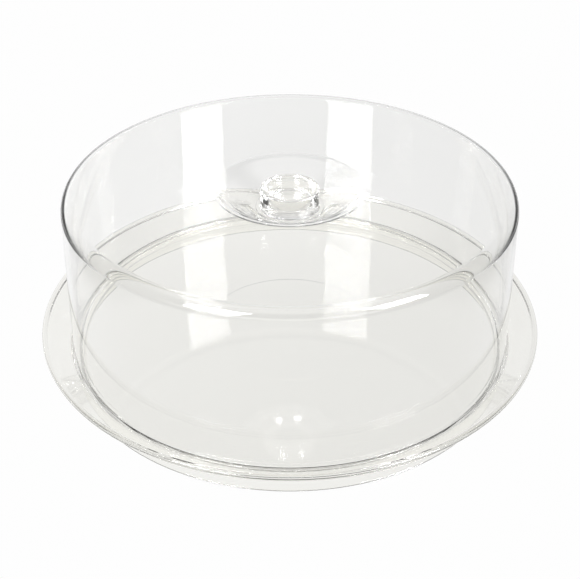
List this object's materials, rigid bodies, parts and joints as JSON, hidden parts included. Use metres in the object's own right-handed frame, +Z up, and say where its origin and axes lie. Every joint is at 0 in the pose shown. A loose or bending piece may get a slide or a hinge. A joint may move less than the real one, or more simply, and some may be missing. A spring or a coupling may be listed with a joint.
{
  "type": "covered serving tray",
  "caption": "Round footed tray in clear plastic with an upturned brim, under a straight-sided lift-off cover with a hollow finger knob in a dished recess.",
  "frame": {"origin": "centre of the foot ring, on the surface that the tray stands on", "axes": "+Z up along the axis that all the round pieces share and that the cover lifts along; X and Y are equal"},
  "size_m": [0.35, 0.35, 0.1308],
  "materials": {
    "tray_plastic": "clear, glossy, lightly scuffed on the floor",
    "cover_plastic": "clear, polished",
    "knob_plastic": "clear, polished, finger-worn on the rim"
  },
  "bodies": {
    "tray": {"tray": "tray_plastic"},
    "cover": {"cover": "cover_plastic", "knob": "knob_plastic"}
  },
  "joints": [
    {"name": "cover_lift", "type": "slide", "parent": "tray", "child": "cover", "axis": [0, 0, 1], "range_m": [0, 0.14]}
  ]
}
